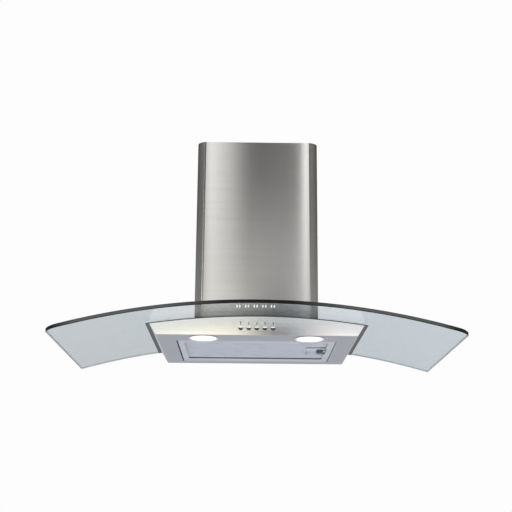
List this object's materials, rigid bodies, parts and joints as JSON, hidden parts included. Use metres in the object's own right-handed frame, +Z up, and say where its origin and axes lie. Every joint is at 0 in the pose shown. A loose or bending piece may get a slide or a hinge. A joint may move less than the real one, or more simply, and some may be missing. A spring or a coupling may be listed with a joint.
{
  "type": "wall-mounted chimney cooker hood",
  "caption": "Chimney cooker hood with a bent glass canopy over a slim brushed-steel body, push buttons, lamps, a tip-down grease filter and a telescoping chimney cover.",
  "frame": {"origin": "centre of the wall plate's rear face, on the wall plane and the hood's centre line", "axes": "+X along the wall to the right seen from the front, +Y into the wall, +Z up"},
  "size_m": [0.898, 0.5, 0.5261],
  "materials": {
    "brushed_steel": "horizontal satin brushing",
    "button_steel": "bright satin",
    "galvanised_steel": "zinc grey, satin",
    "bright_steel": "bright zinc",
    "motor_metal": "satin grey",
    "canopy_glass": "clear toughened, polished edge",
    "black_rubber": "matt",
    "filter_aluminium": "expanded mesh, satin",
    "damper_aluminium": "mill",
    "reflector": "bright spun",
    "lamp_glass": "frosted, lit",
    "black_plastic": "fine texture",
    "white_plastic": "satin",
    "terminal_brass": "plain",
    "black_cable": "matt",
    "white_cable": "satin"
  },
  "bodies": {
    "hood": {"body_tray": "brushed_steel", "button_spring_1": "bright_steel", "button_spring_2": "bright_steel", "button_spring_3": "bright_steel", "button_spring_4": "bright_steel", "button_spring_5": "bright_steel", "capacitor": "white_plastic", "chimney_lower": "brushed_steel", "clamp_bolt_1": "bright_steel", "clamp_bolt_2": "bright_steel", "clamp_bolt_3": "bright_steel", "clamp_bolt_4": "bright_steel", "clamp_frame": "black_plastic", "control_cable": "black_cable", "damper_rod": "bright_steel", "fan_box": "galvanised_steel", "front_fascia": "brushed_steel", "glass_canopy": "canopy_glass", "glass_gasket": "black_rubber", "lamp_bezel_left": "brushed_steel", "lamp_bezel_right": "brushed_steel", "lamp_bulb_left": "lamp_glass", "lamp_bulb_right": "lamp_glass", "lamp_cable_left": "white_cable", "lamp_cable_right": "white_cable", "lamp_can_left": "reflector", "lamp_can_right": "reflector", "lamp_driver": "black_plastic", "lamp_lens_left": "lamp_glass", "lamp_lens_right": "lamp_glass", "mains_gland": "black_plastic", "motor_bar": "galvanised_steel", "motor_bearing_front": "bright_steel", "motor_bearing_rear": "bright_steel", "motor_case": "motor_metal", "outlet_collar": "black_plastic", "passage_seal": "black_rubber", "scroll_housing": "black_plastic", "switch_bank": "black_plastic", "terminal_block": "terminal_brass", "terminal_box": "white_plastic", "terminal_lid": "white_plastic", "top_plate": "galvanised_steel", "wall_plate": "galvanised_steel"},
    "upper_cover": {"chimney_upper": "brushed_steel", "cover_bracket": "galvanised_steel"},
    "filter": {"filter_frame": "filter_aluminium", "filter_mesh": "filter_aluminium", "filter_pull": "filter_aluminium"},
    "latch": {"filter_latch": "black_plastic"},
    "rotor": {"impeller": "black_plastic", "motor_shaft": "bright_steel"},
    "damper_left": {"damper_leaf_left": "damper_aluminium"},
    "damper_right": {"damper_leaf_right": "damper_aluminium"},
    "button_1": {"button_1": "button_steel"},
    "button_2": {"button_2": "button_steel"},
    "button_3": {"button_3": "button_steel"},
    "button_4": {"button_4": "button_steel"},
    "button_5": {"button_5": "button_steel"}
  },
  "joints": [
    {"name": "cover_extend", "type": "slide", "parent": "hood", "child": "upper_cover", "axis": [0, 0, 1], "range_m": [0, 0.34]},
    {"name": "filter_swing", "type": "hinge", "parent": "hood", "child": "filter", "pos_m": [-0.181, -0.169, -0.21], "axis": [0, 1, 0], "range_deg": [0, 75]},
    {"name": "latch_slide", "type": "slide", "parent": "filter", "child": "latch", "axis": [-1, 0, 0], "range_m": [0, 0.006], "stiffness_N_per_m": 300, "springref_m": -0.002},
    {"name": "fan_spin", "type": "hinge", "parent": "hood", "child": "rotor", "pos_m": [0, -0.133, -0.038], "axis": [1, 0, 0], "continuous": true},
    {"name": "damper_left_swing", "type": "hinge", "parent": "hood", "child": "damper_left", "pos_m": [0, -0.1, 0.0951], "axis": [0, 1, 0], "range_deg": [0, 80]},
    {"name": "damper_right_swing", "type": "hinge", "parent": "hood", "child": "damper_right", "pos_m": [0, -0.1, 0.0951], "axis": [0, -1, 0], "range_deg": [0, 80]},
    {"name": "button_1_press", "type": "slide", "parent": "hood", "child": "button_1", "axis": [0, 1, 0], "range_m": [0, 0.003], "stiffness_N_per_m": 400, "springref_m": -0.002, "deforming": ["button_spring_1"]},
    {"name": "button_2_press", "type": "slide", "parent": "hood", "child": "button_2", "axis": [0, 1, 0], "range_m": [0, 0.003], "stiffness_N_per_m": 400, "springref_m": -0.002, "deforming": ["button_spring_2"]},
    {"name": "button_3_press", "type": "slide", "parent": "hood", "child": "button_3", "axis": [0, 1, 0], "range_m": [0, 0.003], "stiffness_N_per_m": 400, "springref_m": -0.002, "deforming": ["button_spring_3"]},
    {"name": "button_4_press", "type": "slide", "parent": "hood", "child": "button_4", "axis": [0, 1, 0], "range_m": [0, 0.003], "stiffness_N_per_m": 400, "springref_m": -0.002, "deforming": ["button_spring_4"]},
    {"name": "button_5_press", "type": "slide", "parent": "hood", "child": "button_5", "axis": [0, 1, 0], "range_m": [0, 0.003], "stiffness_N_per_m": 400, "springref_m": -0.002, "deforming": ["button_spring_5"]}
  ],
  "couplings": [
    {"joint": "damper_right_swing", "follows": "damper_left_swing", "ratio": 1}
  ]
}
